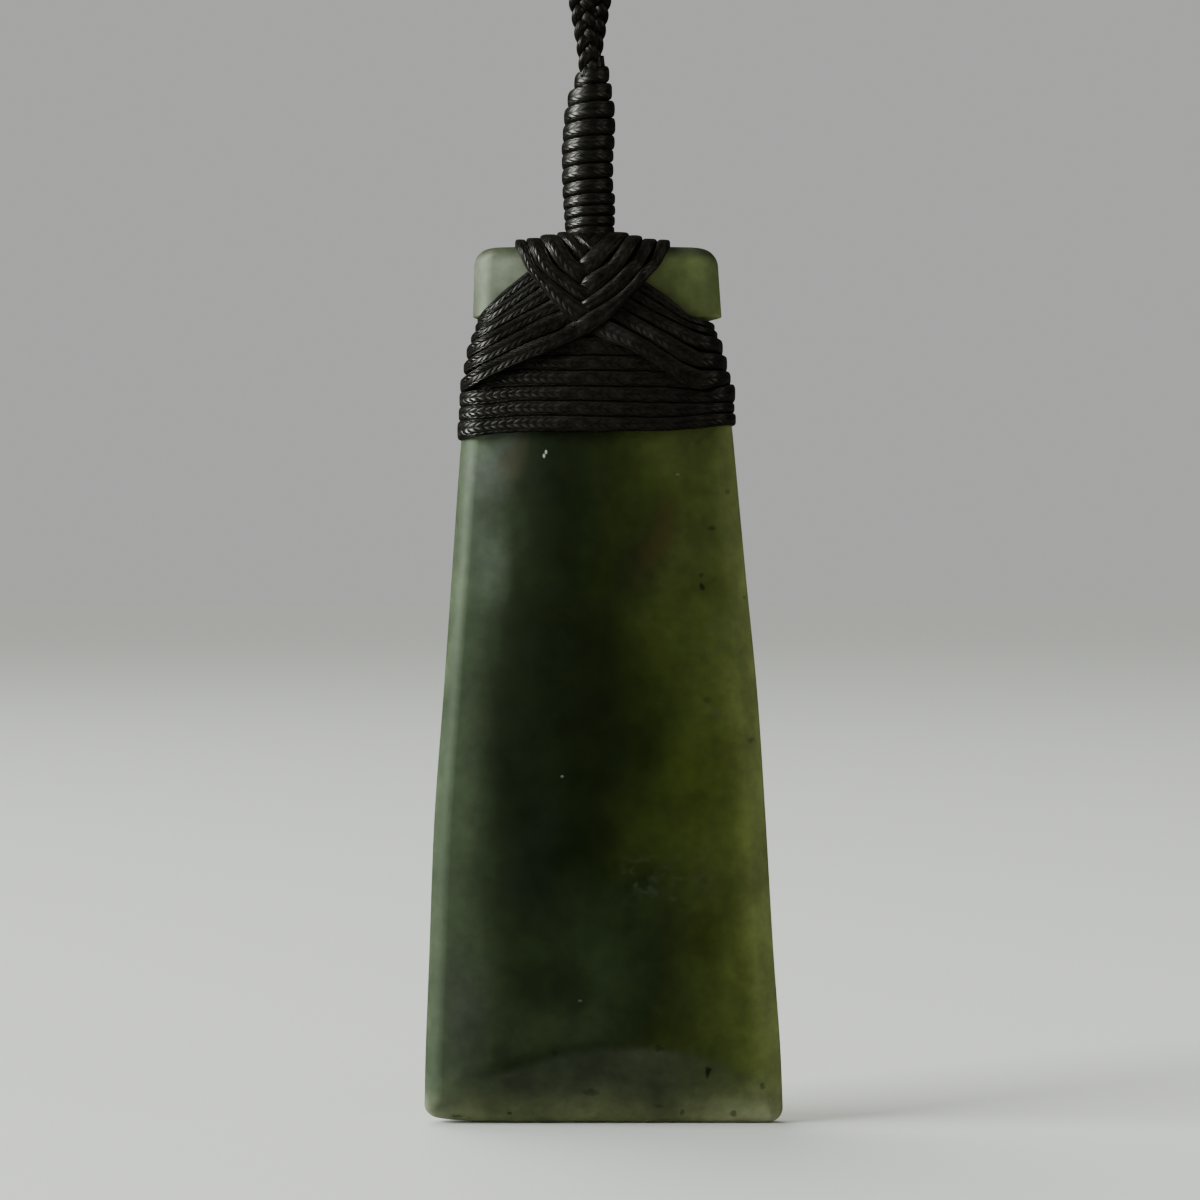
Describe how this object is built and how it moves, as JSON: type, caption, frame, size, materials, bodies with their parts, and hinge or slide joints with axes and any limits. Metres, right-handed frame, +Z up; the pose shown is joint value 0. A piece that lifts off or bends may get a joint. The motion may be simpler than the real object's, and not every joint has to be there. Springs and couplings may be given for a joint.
{
  "type": "jade adze pendant on a plaited neck cord",
  "caption": "Tapered dark green jade slab, lashed at its notched waist with black waxed cord, with a whipped shank and a plaited neck loop.",
  "frame": {"origin": "underside of the nape knot, where the loop hangs on the back of the neck", "axes": "+X to the right of someone who looks at the pendant's face, +Y away from them, +Z up"},
  "size_m": [0.1192, 0.008, 0.3437],
  "materials": {
    "jade": "satin-polished nephrite, dark green, translucent where it is thin",
    "lashing_cord": "black waxed braid, pulled flat, soft sheen",
    "neck_cord": "black waxed cord, plaited from three strands"
  },
  "bodies": {
    "root": {"jade_blade": "jade", "waist_wrap_1": "lashing_cord", "waist_wrap_2": "lashing_cord", "waist_wrap_3": "lashing_cord", "waist_wrap_4": "lashing_cord", "waist_wrap_5": "lashing_cord", "waist_wrap_6": "lashing_cord", "falling_left_1": "lashing_cord", "falling_left_2": "lashing_cord", "falling_left_3": "lashing_cord", "falling_left_4": "lashing_cord", "falling_left_5": "lashing_cord", "falling_right_1": "lashing_cord", "falling_right_2": "lashing_cord", "falling_right_3": "lashing_cord", "falling_right_4": "lashing_cord", "falling_right_5": "lashing_cord", "shank_core": "lashing_cord", "shank_whipping": "lashing_cord", "neck_cord_left": "neck_cord", "neck_cord_right": "neck_cord", "nape_knot": "neck_cord"}
  },
  "joints": []
}
